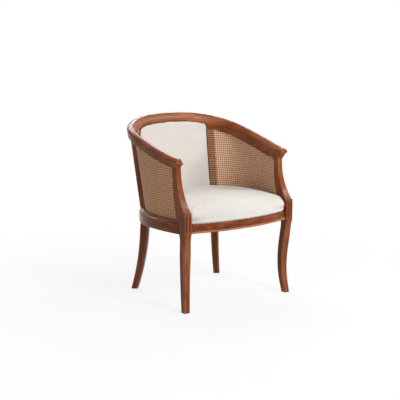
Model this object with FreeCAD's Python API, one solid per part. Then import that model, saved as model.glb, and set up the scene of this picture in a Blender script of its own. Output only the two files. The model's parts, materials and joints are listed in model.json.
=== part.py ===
import FreeCAD
import Part
import math
import os

from FreeCAD import Vector

# Tub armchair with caned sides, in millimetres.
# Origin on the floor under the middle of the chair, +Z up, the front faces -Y, +X is the right side.
# The right-hand pieces are drawn and the left-hand ones are their mirror images.

# Top rail: plan of its outer edge, three tangent arcs on each side
top_half_width = 316.0
top_widest_y = -36.0
top_side_radius = 1130.0
top_corner_radius = 221.0
top_back_radius = 1030.0
top_back_y = 301.5
arm_tip_y = -213.5

# Top rail: height of its outer edge, from the arm's tip to the middle of the crest
arm_tip_z = 637.0
crest_z = 776.0
rise_power_share = 2.3
rise_fullness_share = 1.42

# Top rail: section and joints
top_rail_width = 44.0
top_rail_drop = 42.0
crown_rise = 4.0
shoulder_width = 8.0
shoulder_drop = 14.0
quirk_inset = 3.0
under_bevel = 5.0
arm_tip_width_share = 0.86
arm_taper_length = 150.0
arm_overhang = 15.0
tip_draw_in = 11.0
hollow_y_share = 0.8
hollow_z_share = 0.5
crest_joint_from_stile = 46.0
arm_stations = 13
crest_half_stations = 9

# Seat ring: plan of its outer face, and the section of its rails
ring_radius = 313.0
ring_center_y = -50.0
rail_bottom_z = 331.0
rail_face_height = 42.0
cove_rise = 12.0
cove_depth = 17.0
cove_in_share = 0.72
cove_up_share = 0.32
cane_sill_depth = 33.5
rail_thickness = 45.0
seat_ledge_height = 39.0
rail_edge_bevel = 2.5

# Front rail
front_rail_bow = 41.0
front_rail_setback = 4.0
front_rail_height = 36.0
front_rail_thickness = 33.0
front_bead_radius = 4.0

# Front leg: lower leg, block with two flutes, and arm stump
block_center_x = 275.5
block_width = 38.0
block_depth = 40.0
block_front_y = -264.5
block_height = 90.0
block_edge_bevel = 2.5
front_foot_width = 23.0
front_neck_width = 29.5
front_neck_share = 0.82
front_leg_level_shares = (0, 0.14, 0.3, 0.46, 0.64, 0.8, 0.9, 1)
sway_x = 9.0
sway_y = 15.0
sway_power_share = 1.3
stump_waist_z = 592.0
stump_narrow_z = 536.5
stump_front_y = -198.0
stump_depth = 30.0
stump_front_radius = 270.0
stump_rear_radius = 500.0
stump_width = 27.0
stump_outer_x = 287.5
stump_flare = 3.0
stump_edge_bevel = 2.5
flute_radius = 3.4
flute_depth = 2.6
flute_spacing = 17.0
flute_end_gap = 11.0

# Back stile and rear leg
stile_angle = 41.0
stile_width = 30.0
stile_depth = 33.0
stile_proud = 3.5
stile_top_proud = 0.5
stile_top_share = 0.681
stile_edge_bevel = 2.5
rear_leg_top_width = 32.0
rear_leg_proud = 1.5
rear_foot_width = 23.0
rear_leg_radius = 1130.0
rear_leg_splay_angle = 50.0
rear_leg_level_shares = (0, 0.2, 0.4, 0.6, 0.8, 1)

# Cane panels
cane_thickness = 2.4
cane_outer_depth = 25.5
cane_outer_top_depth = 29.5
groove_depth = 6.0
cane_front_bottom_y = -219.0
cane_front_top_y = -180.0
cane_stations = 14

# Seat: each level gives shares of its height, of the ring's radius at the sides, and at the front
seat_board_thickness = 12.0
seat_crown = 84.0
seat_gap = 1.2
seat_side_gap = 0.3
seat_rail_inset = 0.5
cover_thickness = 2.0
seat_corner_power_share = 60
seat_rays = 64
seat_core_level_step = 3
seat_level_shares = (
    (0, 0.012, 0.012),
    (0.14, 0.002, 0.002),
    (0.3, 0, 0),
    (0.5, 0, 0.014),
    (0.64, 0.003, 0.042),
    (0.76, 0.02, 0.094),
    (0.86, 0.08, 0.19),
    (0.93, 0.19, 0.315),
    (0.975, 0.315, 0.435),
    (1, 0.45, 0.55),
)

# Back
back_board_depth = 22.0
back_board_top_depth = 24.0
back_board_thickness = 6.0
outside_back_depth = 4.0
outside_back_top_depth = 9.0
outside_back_thickness = 5.0
back_pad_thickness = 36.0
back_pad_edge = 11.0
back_pad_bottom_gap = 4.0
back_pad_corner_drop = 8.0
back_pad_gap = 0.8
back_pad_side_gap = 3.0
back_fullness_share = 2.2
back_height_shares = (0.87, 0.5, 0.13)
back_corner_share = 2.5
back_half_stations = 10

# Tenons, glue blocks, dowels and screws
tenon_length = 13.0
tenon_thickness = 12.0
tenon_height = 24.0
corner_block_height = 34.0
front_block_reach = 24.0
rear_block_depth = 23.0
rear_block_half_length = 48.0
dowel_radius = 5.0
dowel_length = 48.0
dowel_spacing = 18.0
stump_dowel_inset = 8.0
screw_radius = 2.2
screw_head_radius = 4.4
screw_head_height = 2.6
screw_bite = 8.0
screw_in = 14.0

# Clearance of the soft pieces and boards, and the overrun of cuts
soft_gap = 0.3
overrun = 40.0

# Sizes worked out from those above
rail_face_z = rail_bottom_z + rail_face_height
sill_z = rail_face_z + cove_rise
seat_ledge_z = rail_bottom_z + seat_ledge_height
rail_middle_z = rail_bottom_z + seat_ledge_height / 2
tenon_bottom_z = rail_middle_z - tenon_height / 2
front_rail_bottom_z = seat_ledge_z - front_rail_height
block_top_z = rail_bottom_z + block_height
block_rear_y = block_front_y + block_depth
block_outer_x = block_center_x + block_width / 2
block_inner_x = block_center_x - block_width / 2
stump_rear_y = stump_front_y + stump_depth
stump_inner_x = stump_outer_x - stump_width
front_rail_y = block_front_y + front_rail_setback
tenon_front_y = front_rail_y + front_rail_thickness / 2 - tenon_thickness
front_rail_radius = (block_inner_x ** 2 + front_rail_bow ** 2) / (2 * front_rail_bow)
front_rail_center_y = front_rail_y - front_rail_bow + front_rail_radius
ring_side_dx = ring_radius - block_outer_x
ring_side_dy = ring_center_y - block_rear_y
ring_side_radius = (ring_side_dx ** 2 + ring_side_dy ** 2) / (2 * ring_side_dx)
cane_inner_depth = stile_depth - stile_proud + soft_gap + cane_thickness / 2
cane_inner_top_depth = stile_depth - stile_top_proud + soft_gap + cane_thickness / 2
screw_length = corner_block_height + soft_gap + screw_bite

UP = Vector(0, 0, 1)
MIDDLE = Vector(0, 0, 0)
SIDEWAYS = Vector(1, 0, 0)
BACKWARD = Vector(0, 1, 0)


# Plan curves
class PlanPath:
    """Tangent arcs from the front of the right side to the middle of the back."""

    def __init__(self, arcs):
        self.arcs = arcs
        self.spans = [radius * (end - start) for _, _, radius, start, end in arcs]
        self.length = sum(self.spans)

    def spot(self, along):
        """Point on the path and its outward angle, at a length from its front end."""
        rest = along
        for path_arc, span in zip(self.arcs, self.spans):
            if rest <= span or path_arc is self.arcs[-1]:
                x, y, radius, start, _ = path_arc
                angle = start + rest / radius
                return x + radius * math.cos(angle), y + radius * math.sin(angle), angle
            rest -= span

    def along_at_y(self, y):
        """Length at which the first arc reaches a given y."""
        _, center_y, radius, start, _ = self.arcs[0]
        return radius * (math.asin((y - center_y) / radius) - start)


def circle_meeting(x1, y1, r1, x2, y2, r2, side):
    """One of the two points where two circles meet; side is 1 or -1."""
    gap = math.hypot(x2 - x1, y2 - y1)
    along = (r1 ** 2 - r2 ** 2 + gap ** 2) / (2 * gap)
    across = math.sqrt(r1 ** 2 - along ** 2)
    ux = (x2 - x1) / gap
    uy = (y2 - y1) / gap
    return x1 + ux * along - side * uy * across, y1 + uy * along + side * ux * across


def top_path():
    side_x = top_half_width - top_side_radius
    back_y = top_back_y - top_back_radius
    corner_x, corner_y = circle_meeting(
        side_x, top_widest_y, top_side_radius - top_corner_radius,
        0, back_y, top_back_radius - top_corner_radius, 1)
    tip = math.asin((arm_tip_y - top_widest_y) / top_side_radius)
    turn_in = math.atan2(corner_y - top_widest_y, corner_x - side_x)
    turn_out = math.atan2(corner_y - back_y, corner_x)
    return PlanPath([
        (side_x, top_widest_y, top_side_radius, tip, turn_in),
        (corner_x, corner_y, top_corner_radius, turn_in, turn_out),
        (0, back_y, top_back_radius, turn_out, math.pi / 2),
    ])


def ring_path():
    front = -math.asin(ring_side_dy / ring_side_radius)
    return PlanPath([
        (ring_radius - ring_side_radius, ring_center_y, ring_side_radius, front, 0),
        (0, ring_center_y, ring_radius, 0, math.pi / 2),
    ])


TOP = top_path()
RING = ring_path()
stile_direction = math.radians(90 - stile_angle)
stile_along_ring = RING.spans[0] + ring_radius * stile_direction
stile_along_top = TOP.length * stile_top_share
joint_along_top = stile_along_top - crest_joint_from_stile


def top_height(along):
    """Height of the top rail's outer edge at a length from the arm's tip."""
    share = along / TOP.length
    climb = (rise_power_share - rise_fullness_share) * share
    if share > 0:
        climb = 1 - (1 - share) ** rise_power_share * (1 + rise_fullness_share * share)
    return arm_tip_z + (crest_z - arm_tip_z) * climb


def inset_point(path, along, depth, z, side=1):
    """A point inside the path by depth; side -1 is the left half of the chair."""
    x, y, angle = path.spot(along)
    return Vector(side * (x - depth * math.cos(angle)), y - depth * math.sin(angle), z)


# Small makers
def polygon(points):
    return Part.makePolygon(points + points[:1])


def polygon_face(points):
    return Part.Face(polygon(points))


def line(start, end):
    return Part.makeLine(start, end)


def arc(start, through, end):
    return Part.Arc(start, through, end).toShape()


def curve(*poles):
    """Smooth edge that leaves and meets its end poles along the poles between them."""
    bezier = Part.BezierCurve()
    bezier.setPoles(list(poles))
    return bezier.toShape()


def bevelled_rectangle(center, first, second, width, depth, bevel):
    """Flat wire of a rectangle with bevelled corners; first and second are its unit axes."""
    spots = []
    for side_u, side_v in ((1, 1), (-1, 1), (-1, -1), (1, -1)):
        on_v_edge = (side_u * (width / 2 - bevel), side_v * depth / 2)
        on_u_edge = (side_u * width / 2, side_v * (depth / 2 - bevel))
        spots += [on_u_edge, on_v_edge] if side_u == side_v else [on_v_edge, on_u_edge]
    return polygon([center + first * u + second * v for u, v in spots])


def loft(wires, ruled=True):
    """Solid through closed wires; ruled ones keep straight lines from each wire to the next."""
    return Part.makeLoft(wires, True, ruled, False, 3)


def cut_all(shape, tools):
    """Cut several pieces out of one, and keep its largest solid."""
    result = shape.cut(tools).removeSplitter()
    return max(result.Solids, key=lambda solid: solid.Volume)


def mirrored(shape):
    return shape.mirror(MIDDLE, SIDEWAYS)


def both_sides(solids):
    return solids + [mirrored(solid) for solid in solids]


def rod(start, direction, length, radius):
    return Part.makeCylinder(radius, length, start, direction)


def centered_rod(center, direction, length, radius):
    unit = Vector(direction).normalize()
    return rod(center - unit * (length / 2), unit, length, radius)


def between(first, last, count):
    return [first + (last - first) * index / (count - 1) for index in range(count)]


# Top rail: crest and two arms, one moulded section carried along the horseshoe
def top_rail_wire(along, side=1):
    share = min(1, max(0, along / arm_taper_length))
    width = top_rail_width * (arm_tip_width_share + (1 - arm_tip_width_share) * share)
    low_inset = quirk_inset + tip_draw_in * (1 - share) ** 2
    z = top_height(along)

    def at(depth, height):
        return inset_point(TOP, along, depth, z + height, side)

    slope = 2 * crown_rise / (width / 2 - shoulder_width)
    shoulder_pull = -shoulder_width * slope
    fascia_top = -shoulder_drop - quirk_inset
    fascia_low = under_bevel - top_rail_drop
    return Part.Wire([
        curve(at(0, -shoulder_drop), at(0, shoulder_pull), at(shoulder_width, 0)),
        curve(at(shoulder_width, 0), at(width / 2, 2 * crown_rise), at(width - shoulder_width, 0)),
        curve(at(width - shoulder_width, 0), at(width, shoulder_pull), at(width, -shoulder_drop)),
        line(at(width, -shoulder_drop), at(width, fascia_low)),
        line(at(width, fascia_low), at(width - under_bevel, -top_rail_drop)),
        line(at(width - under_bevel, -top_rail_drop), at(low_inset + under_bevel, -top_rail_drop)),
        line(at(low_inset + under_bevel, -top_rail_drop), at(low_inset, fascia_low)),
        line(at(low_inset, fascia_low), at(quirk_inset, fascia_top)),
        line(at(quirk_inset, fascia_top), at(0, -shoulder_drop)),
    ])


def arm_rail():
    """The front end is sawn hollow below its tip, so that it runs into the stump."""
    stops = between(-arm_overhang, joint_along_top, arm_stations)
    blank = loft([top_rail_wire(along) for along in stops])
    tip_low_z = arm_tip_z - shoulder_drop
    far_y = arm_tip_y - overrun
    high_z = arm_tip_z + overrun
    low_z = stump_waist_z - overrun

    def at(y, z):
        return Vector(0, y, z)

    hollow_y = arm_tip_y + (stump_front_y - arm_tip_y) * hollow_y_share
    hollow_z = stump_waist_z + (tip_low_z - stump_waist_z) * hollow_z_share
    waste = Part.Face(Part.Wire([
        arc(at(stump_front_y, stump_waist_z), at(hollow_y, hollow_z), at(arm_tip_y, tip_low_z)),
        line(at(arm_tip_y, tip_low_z), at(arm_tip_y, high_z)),
        line(at(arm_tip_y, high_z), at(far_y, high_z)),
        line(at(far_y, high_z), at(far_y, low_z)),
        line(at(far_y, low_z), at(stump_front_y, low_z)),
        line(at(stump_front_y, low_z), at(stump_front_y, stump_waist_z)),
    ]))
    return blank.cut(waste.extrude(SIDEWAYS * (top_half_width + overrun))).Solids[0]


def crest_rail():
    stops = between(joint_along_top, TOP.length, crest_half_stations)
    right = [top_rail_wire(along) for along in stops]
    left = [top_rail_wire(along, -1) for along in stops[:-1]]
    return loft(right + left[::-1])


# Seat ring: side and back rails turned about the centres of their arcs
def rail_profile(center_x, center_y, radius, angle):
    """Section of a curved seat rail, standing on the radius at an angle."""
    def at(depth, z):
        reach = radius - depth
        return Vector(center_x + reach * math.cos(angle), center_y + reach * math.sin(angle), z)

    edge = rail_edge_bevel
    cove_in = cove_depth * cove_in_share
    cove_up = rail_face_z + cove_rise * cove_up_share
    return Part.Face(Part.Wire([
        line(at(edge, rail_bottom_z), at(0, rail_bottom_z + edge)),
        line(at(0, rail_bottom_z + edge), at(0, rail_face_z - edge)),
        line(at(0, rail_face_z - edge), at(edge, rail_face_z)),
        arc(at(edge, rail_face_z), at(cove_in, cove_up), at(cove_depth, sill_z)),
        line(at(cove_depth, sill_z), at(cane_sill_depth, sill_z)),
        line(at(cane_sill_depth, sill_z), at(cane_sill_depth, seat_ledge_z)),
        line(at(cane_sill_depth, seat_ledge_z), at(rail_thickness, seat_ledge_z)),
        line(at(rail_thickness, seat_ledge_z), at(rail_thickness, rail_bottom_z)),
        line(at(rail_thickness, rail_bottom_z), at(edge, rail_bottom_z)),
    ]))


def side_seat_rail():
    x, y, radius, start, end = RING.arcs[0]
    lead = overrun / radius
    front = rail_profile(x, y, radius, start - lead)
    front = front.revolve(Vector(x, y, 0), UP, math.degrees(end - start + lead))
    rear = rail_profile(0, ring_center_y, ring_radius, 0)
    rear = rear.revolve(Vector(0, ring_center_y, 0), UP, math.degrees(stile_direction))
    rail = front.fuse(rear).removeSplitter()
    waste = Part.makeBox(
        2 * ring_radius, ring_radius, 2 * crest_z,
        Vector(0, block_rear_y - ring_radius, 0))
    tenon = Part.makeBox(
        tenon_thickness, 2 * tenon_length, tenon_height,
        Vector(block_center_x - tenon_thickness / 2, block_rear_y - tenon_length, tenon_bottom_z))
    return rail.cut(waste).fuse(tenon).Solids[0]


def back_seat_rail():
    profile = rail_profile(0, ring_center_y, ring_radius, stile_direction)
    return profile.revolve(Vector(0, ring_center_y, 0), UP, 2 * stile_angle)


def front_seat_rail():
    """Bowed rail with a bead along its lower edge, between the two leg blocks."""
    half_angle = math.asin((block_inner_x + overrun) / front_rail_radius)
    start = -math.pi / 2 - half_angle

    def at(depth, z):
        reach = front_rail_radius - depth
        return Vector(reach * math.cos(start), front_rail_center_y + reach * math.sin(start), z)

    bead = front_bead_radius
    bottom = front_rail_bottom_z
    edge = rail_edge_bevel
    face = Part.Face(Part.Wire([
        arc(at(bead, bottom), at(0, bottom + bead), at(bead, bottom + 2 * bead)),
        line(at(bead, bottom + 2 * bead), at(bead, seat_ledge_z - edge)),
        line(at(bead, seat_ledge_z - edge), at(bead + edge, seat_ledge_z)),
        line(at(bead + edge, seat_ledge_z), at(front_rail_thickness, seat_ledge_z)),
        line(at(front_rail_thickness, seat_ledge_z), at(front_rail_thickness, bottom)),
        line(at(front_rail_thickness, bottom), at(bead, bottom)),
    ]))
    bowed = face.revolve(Vector(0, front_rail_center_y, 0), UP, math.degrees(2 * half_angle))
    gap_between_blocks = Part.makeBox(
        2 * block_inner_x, 2 * ring_radius, crest_z,
        Vector(-block_inner_x, front_rail_y - front_rail_bow - ring_radius, 0))
    tenons = Part.makeBox(
        2 * (block_inner_x + tenon_length), tenon_thickness, tenon_height,
        Vector(-block_inner_x - tenon_length, tenon_front_y, tenon_bottom_z))
    core = Part.makeBox(
        2 * (block_inner_x - tenon_length), ring_radius, crest_z,
        Vector(tenon_length - block_inner_x, tenon_front_y - tenon_thickness, 0))
    return bowed.common(gap_between_blocks).fuse(tenons.cut(core).Solids).Solids[0]


# Front leg: lower leg, fluted block and arm stump sawn from one plank
def sway(share):
    """How far the lower leg bends in, as a share; 0 at the foot and at the block."""
    return math.sin(math.pi * (1 - share) ** sway_power_share)


def front_leg_width(share):
    if share <= front_neck_share:
        return front_foot_width + (front_neck_width - front_foot_width) * share / front_neck_share
    swell = (share - front_neck_share) / (1 - front_neck_share)
    return front_neck_width + (block_width - front_neck_width) * swell ** 2


def lower_front_leg():
    wires = []
    for share in front_leg_level_shares:
        bend = sway(share)
        width = front_leg_width(share)
        center = Vector(
            block_center_x - sway_x * bend,
            block_front_y + block_depth / 2 + sway_y * bend,
            rail_bottom_z * share)
        depth = width + (block_depth - block_width) * share
        wires.append(bevelled_rectangle(center, SIDEWAYS, BACKWARD, width, depth, block_edge_bevel))
    return loft(wires, ruled=False)


def stump_face_at(z, waist_y, radius):
    """Where the hollow front or rear of the stump stands at a height."""
    return waist_y - radius + math.sqrt(radius ** 2 - (stump_waist_z - z) ** 2)


def arm_stump():
    """Sawn to its side outline, then across to its front outline, with bevelled corners."""
    top_z = top_height(stump_depth) - crown_rise

    def front_at(z):
        return Vector(0, stump_face_at(z, stump_front_y, stump_front_radius), z)

    def rear_at(z):
        return Vector(0, stump_face_at(z, stump_rear_y, stump_rear_radius), z)

    toe = front_at(block_top_z)
    low_toe = Vector(0, toe.y, rail_face_z)
    front_top = Vector(0, stump_front_y, top_z)
    rear_top = Vector(0, stump_rear_y, top_z)
    side_face = Part.Face(Part.Wire([
        arc(toe, front_at((block_top_z + stump_waist_z) / 2), front_at(stump_waist_z)),
        line(front_at(stump_waist_z), front_top),
        line(front_top, rear_top),
        line(rear_top, rear_at(stump_waist_z)),
        arc(rear_at(stump_waist_z), rear_at((rail_face_z + stump_waist_z) / 2), rear_at(rail_face_z)),
        line(rear_at(rail_face_z), low_toe),
        line(low_toe, toe),
    ]))
    side_blank = side_face.extrude(SIDEWAYS * (block_outer_x + overrun))
    far_y = block_front_y - overrun

    def across_at(x, z):
        return Vector(x, far_y, z)

    low_out = across_at(block_outer_x, block_top_z)
    low_in = across_at(block_inner_x, block_top_z)
    high_out = across_at(stump_outer_x + stump_flare, top_z)
    high_in = across_at(stump_inner_x + stump_flare, top_z)
    bottom_out = across_at(block_outer_x, rail_face_z)
    bottom_in = across_at(block_inner_x, rail_face_z)
    front_face = Part.Face(Part.Wire([
        arc(low_out, across_at(stump_outer_x, stump_narrow_z), high_out),
        line(high_out, high_in),
        arc(high_in, across_at(stump_inner_x, stump_narrow_z), low_in),
        line(low_in, bottom_in),
        line(bottom_in, bottom_out),
        line(bottom_out, low_out),
    ]))
    front_blank = front_face.extrude(BACKWARD * (block_depth + 2 * stump_depth + 2 * overrun))
    stump = side_blank.common(front_blank).Solids[0]
    long_edges = [edge for edge in stump.Edges if edge.Length > block_height]
    return stump.makeChamfer(stump_edge_bevel, long_edges)


def front_leg():
    block = Part.makeBox(
        block_width, block_depth, block_height, Vector(block_inner_x, block_front_y, rail_bottom_z))
    upright = [edge for edge in block.Edges if edge.BoundBox.ZLength > block_height / 2]
    block = block.makeChamfer(block_edge_bevel, upright)
    leg = lower_front_leg().fuse([block, arm_stump()]).removeSplitter().Solids[0]
    low = rail_bottom_z + flute_end_gap + flute_radius
    high = block_top_z - flute_end_gap - flute_radius
    flutes = []
    for side in (-1, 1):
        x = block_center_x + side * flute_spacing / 2
        y = block_front_y + flute_depth - flute_radius
        flutes.append(rod(Vector(x, y, low), UP, high - low, flute_radius))
        flutes.append(Part.makeSphere(flute_radius, Vector(x, y, low)))
        flutes.append(Part.makeSphere(flute_radius, Vector(x, y, high)))
    return leg.cut(flutes).Solids[0]


# Rear legs and back stiles
def level_axes(angle):
    """Level unit vectors outward at an angle, and across it."""
    outward = Vector(math.cos(angle), math.sin(angle), 0)
    return outward, Vector(-outward.y, outward.x, 0)


def rear_leg():
    outward, across = level_axes(stile_direction)
    top = inset_point(RING, stile_along_ring, rear_leg_top_width / 2 - rear_leg_proud, rail_bottom_z)
    splay = math.radians(rear_leg_splay_angle)
    way = Vector(math.sin(splay), math.cos(splay), 0)
    wires = []
    for share in rear_leg_level_shares:
        fall = rail_bottom_z * share
        shift = rear_leg_radius - math.sqrt(rear_leg_radius ** 2 - fall ** 2)
        width = rear_leg_top_width + (rear_foot_width - rear_leg_top_width) * share
        center = top + way * shift - UP * fall
        wires.append(bevelled_rectangle(center, outward, across, width, width, stile_edge_bevel))
    return loft(wires, ruled=False)


def stile_ends():
    bottom = inset_point(RING, stile_along_ring, stile_depth / 2 - stile_proud, rail_face_z)
    top_z = top_height(stile_along_top) - top_rail_drop / 2
    top = inset_point(TOP, stile_along_top, stile_depth / 2 - stile_top_proud, top_z)
    return bottom, top


def back_stile():
    outward, across = level_axes(stile_direction)
    top_outward, top_across = level_axes(TOP.spot(stile_along_top)[2])
    bottom, top = stile_ends()
    return loft([
        bevelled_rectangle(bottom, outward, across, stile_depth, stile_width, stile_edge_bevel),
        bevelled_rectangle(top, top_outward, top_across, stile_depth, stile_width, stile_edge_bevel),
    ])


# Thin sheets that stand between the seat ring and the top rail
def wall_inward(along_ring, along_top, side):
    """Level unit vector into the chair, half way between the ring's and the top rail's."""
    angle = (RING.spot(along_ring)[2] + TOP.spot(along_top)[2]) / 2
    return Vector(-side * math.cos(angle), -math.sin(angle), 0)


def wall_line(station, low_depth, high_depth):
    """Ends of the straight line up the wall at a station, from the sill's groove to the top rail's."""
    side, along_ring, along_top = station
    high_z = top_height(along_top) - top_rail_drop + groove_depth
    low = inset_point(RING, along_ring, low_depth, sill_z - groove_depth, side)
    return low, inset_point(TOP, along_top, high_depth, high_z, side)


def wall_sheet(stations, low_depth, high_depth, thickness):
    """Closed sheet through stations of (side, length along the ring, length along the top rail)."""
    wires = []
    for station in stations:
        side, along_ring, along_top = station
        low, high = wall_line(station, low_depth, high_depth)
        near = wall_inward(along_ring, along_top, side) * (thickness / 2)
        wires.append(polygon([low - near, high - near, high + near, low + near]))
    return loft(wires)


def cane_panel(low_depth, high_depth, reach):
    """Caned panel from inside the stump to a length past the middle of the stile."""
    ring_stops = between(RING.along_at_y(cane_front_bottom_y), stile_along_ring + reach, cane_stations)
    top_stops = between(TOP.along_at_y(cane_front_top_y), stile_along_top + reach, cane_stations)
    stations = [(1, low, high) for low, high in zip(ring_stops, top_stops)]
    return wall_sheet(stations, low_depth, high_depth, cane_thickness)


def back_stations(into_stile):
    """Stations from the right stile to the left one, a length into the stiles' edges."""
    start = stile_width / 2 - into_stile
    ring_stops = between(stile_along_ring + start, RING.length, back_half_stations)
    top_stops = between(stile_along_top + start, TOP.length, back_half_stations)
    right = [(1, low, high) for low, high in zip(ring_stops, top_stops)]
    left = [(-1, low, high) for low, high in zip(ring_stops[:-1], top_stops[:-1])]
    return right + left[::-1]


def back_sheet(low_depth, high_depth, thickness):
    return wall_sheet(back_stations(groove_depth), low_depth, high_depth, thickness)


# Back pad: thin at its edges, full in the middle, hollow to the sitter
def back_pad(shrink):
    wires = []
    edge = back_pad_edge - shrink
    stations = back_stations(-back_pad_side_gap - shrink)
    last = len(stations) - 1
    for index, station in enumerate(stations):
        side, along_ring, along_top = station
        across_share = 1 - abs(2 * index / last - 1)
        fullness = math.sin(math.pi / 2 * min(1, across_share * back_fullness_share))
        belly = (back_pad_thickness - back_pad_edge) * fullness
        corner = back_pad_corner_drop * (1 - min(1, across_share * back_corner_share)) ** 2
        low_z = sill_z + back_pad_bottom_gap + shrink
        high_z = top_height(along_top) - top_rail_drop - soft_gap - corner - shrink
        low, high = wall_line(station, back_board_depth, back_board_top_depth)
        rise = (high - low) / (high.z - low.z)
        inward = wall_inward(along_ring, along_top, side)
        foot = low + inward * (back_board_thickness / 2 + back_pad_gap)

        def at(share, depth):
            return foot + rise * (low_z + (high_z - low_z) * share - low.z) + inward * depth

        points = [at(0, 0), at(1, 0), at(1, edge)]
        for share in back_height_shares:
            points.append(at(share, edge + belly * (1 - (2 * share - 1) ** 2)))
        points.append(at(0, edge))
        wires.append(polygon(points))
    return loft(wires)


# Seat: outline measured along rays from the middle of the ring, and the crowned pad lofted through it
def ray_reach(way_x, way_y, center_x, center_y, radius):
    """Distance from the middle of the ring to a circle round it, along a level unit way."""
    from_y = center_y - ring_center_y
    along = center_x * way_x + from_y * way_y
    return along + math.sqrt(along ** 2 + radius ** 2 - center_x ** 2 - from_y ** 2)


def seat_outline(side_inset, front_inset, z):
    """D-shaped outline: round back, gently curved sides and bowed front, with softened front corners."""
    widest = ring_radius - cane_sill_depth - seat_gap
    side_dx = widest - block_inner_x + seat_gap
    side_dy = ring_center_y - front_rail_y
    side_radius = (side_dx ** 2 + side_dy ** 2) / (2 * side_dx)
    bow_radius = front_rail_radius - front_bead_radius - seat_rail_inset - front_inset
    power = seat_corner_power_share
    points = []
    for ray in range(seat_rays):
        angle = 2 * math.pi * ray / seat_rays
        way_x = math.cos(angle)
        way_y = math.sin(angle)
        reach = widest - side_inset
        if way_y < 0:
            side_reach_radius = side_radius - side_inset - seat_side_gap
            side = ray_reach(abs(way_x), way_y, widest - side_radius, ring_center_y, side_reach_radius)
            front = ray_reach(way_x, way_y, 0, front_rail_center_y, bow_radius)
            reach = (side ** -power + front ** -power) ** (-1 / power)
        points.append(Vector(reach * way_x, ring_center_y + reach * way_y, z))
    return polygon(points)


def seat_pad(shrink, level_step=1):
    """Pad inside the cover by shrink; a level step leaves levels out."""
    base_z = seat_ledge_z + soft_gap
    wires = []
    for height_share, side_share, front_share in seat_level_shares[::level_step]:
        z = base_z + (seat_crown - soft_gap - shrink) * height_share
        wires.append(seat_outline(shrink + ring_radius * side_share, shrink + ring_radius * front_share, z))
    crown_z = seat_ledge_z + seat_crown
    notch_y = stump_face_at(crown_z, stump_rear_y, stump_rear_radius) + seat_gap + shrink
    notch_x = block_inner_x - seat_gap - shrink
    notch = Part.makeBox(
        ring_radius, ring_radius, crest_z, Vector(notch_x, notch_y - ring_radius, 0))
    return loft(wires).cut([notch, mirrored(notch)]).Solids[0]


# Glue blocks in the corners of the seat ring
def front_block_ends():
    """Ends of the front glue block's sloping face, in plan."""
    reach = front_block_reach + rail_thickness + front_rail_thickness
    inner_end = Vector(block_outer_x - reach, front_rail_y + front_rail_thickness, 0)
    rear_end = Vector(block_outer_x - rail_thickness, front_rail_y + reach, 0)
    return inner_end, rear_end


def front_corner_block(neighbours):
    inner_end, rear_end = front_block_ends()
    lift = UP * (seat_ledge_z - corner_block_height)
    block = polygon_face([
        Vector(block_outer_x, front_rail_y, 0) + lift,
        Vector(inner_end.x, front_rail_y, 0) + lift,
        inner_end + lift,
        rear_end + lift,
        Vector(block_outer_x, rear_end.y, 0) + lift,
    ]).extrude(UP * corner_block_height)
    return cut_all(block, neighbours)


def rear_corner_block():
    outward, across = level_axes(stile_direction)
    inner = ring_radius - rail_thickness
    center = Vector(0, ring_center_y, seat_ledge_z - corner_block_height)
    drum = Part.makeCylinder(inner, corner_block_height, center, UP)
    near = center + outward * (inner - rear_block_depth)
    far = center + outward * inner
    half = across * rear_block_half_length
    keep = polygon_face([near + half, near - half, far - half, far + half])
    return drum.common(keep.extrude(UP * corner_block_height)).Solids[0]


# Dowels and screws
def make_dowels():
    groups = {}
    joint_angle = TOP.spot(joint_along_top)[2]
    joint_outward, tangent = level_axes(joint_angle)
    middle_z = top_height(joint_along_top) - top_rail_drop / 2 + crown_rise
    middle = inset_point(TOP, joint_along_top, top_rail_width / 2, middle_z)
    groups["crest_arm_dowels"] = both_sides([
        centered_rod(middle + joint_outward * (sign * dowel_spacing / 2), tangent, dowel_length, dowel_radius)
        for sign in (-1, 1)])
    stump_middle = Vector(
        (stump_outer_x + stump_inner_x + stump_flare) / 2,
        stump_front_y + stump_dowel_inset,
        top_height(stump_depth) - top_rail_drop)
    groups["arm_stump_dowels"] = both_sides([
        centered_rod(stump_middle, UP, dowel_length, dowel_radius)])
    bottom, top = stile_ends()
    lean = (top - bottom).normalize()
    groups["stile_dowels"] = both_sides([
        centered_rod(bottom + lean * cove_rise, lean, dowel_length, dowel_radius),
        centered_rod(top - lean * (top_rail_drop / 2), lean, dowel_length, dowel_radius)])
    leg_middle = inset_point(RING, stile_along_ring, rear_leg_top_width / 2 - rear_leg_proud, rail_bottom_z)
    groups["rear_leg_dowels"] = both_sides([
        centered_rod(leg_middle, UP, dowel_length, dowel_radius)])
    across = level_axes(stile_direction)[1]
    rails = []
    for sign in (-1, 1):
        z = rail_middle_z + sign * dowel_spacing / 2
        rear_joint = inset_point(RING, stile_along_ring, rail_thickness - 2 * dowel_radius, z)
        rails.append(centered_rod(rear_joint, across, dowel_length, dowel_radius))
    groups["seat_rail_dowels"] = both_sides(rails)
    return groups


def make_screws():
    """Round-headed screws up through the glue blocks into the seat board."""
    inner_end, rear_end = front_block_ends()
    slope = (rear_end - inner_end).normalize()
    outward = level_axes(stile_direction)[0]
    front_spot = (inner_end + rear_end) / 2 + Vector(slope.y, -slope.x, 0) * screw_in
    rear_inset = ring_radius - rail_thickness - rear_block_depth + screw_in
    rear_spot = Vector(0, ring_center_y, 0) + outward * rear_inset
    lift = UP * (seat_ledge_z - corner_block_height)
    screws = []
    for spot in (front_spot, rear_spot):
        head = rod(spot + lift, UP * -1, screw_head_height, screw_head_radius)
        shank = rod(spot + lift, UP, screw_length, screw_radius)
        screws.append(head.fuse(shank).Solids[0])
    return both_sides(screws)


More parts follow.
